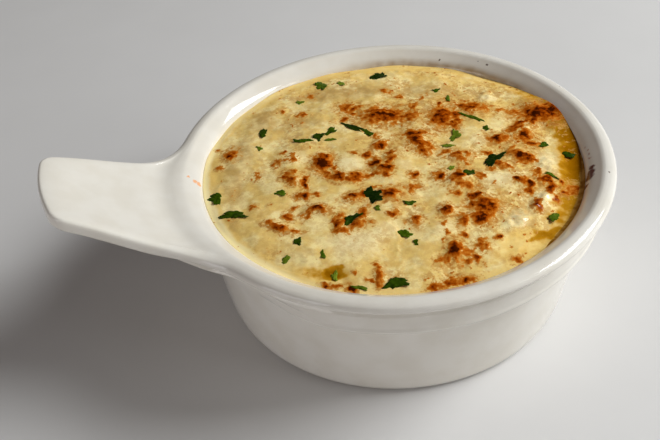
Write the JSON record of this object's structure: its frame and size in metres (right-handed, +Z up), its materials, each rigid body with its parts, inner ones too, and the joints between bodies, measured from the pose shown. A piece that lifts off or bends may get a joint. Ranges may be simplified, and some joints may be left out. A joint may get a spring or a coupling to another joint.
{
  "type": "french onion soup in a handled dish",
  "caption": "Baked onion soup under browned melted cheese with chopped parsley, filling a round glazed dish with one rising handle.",
  "frame": {"origin": "centre of the object's box at the foot ring's underside, so the bowl's axis is at x = +18.5 mm", "axes": "+Z up out of the bowl, the handle points along -X, +X away from the handle"},
  "size_m": [0.1774, 0.14, 0.0681],
  "materials": {
    "glazed_stoneware": "warm white gloss glaze",
    "broth": "amber broth with a film of fat",
    "browned_cheese": "melted cheese, browned in patches, oily sheen",
    "parsley": "chopped fresh parsley, satin"
  },
  "bodies": {
    "root": {"bowl": "glazed_stoneware", "soup": "broth", "cheese": "browned_cheese"}
  },
  "joints": []
}
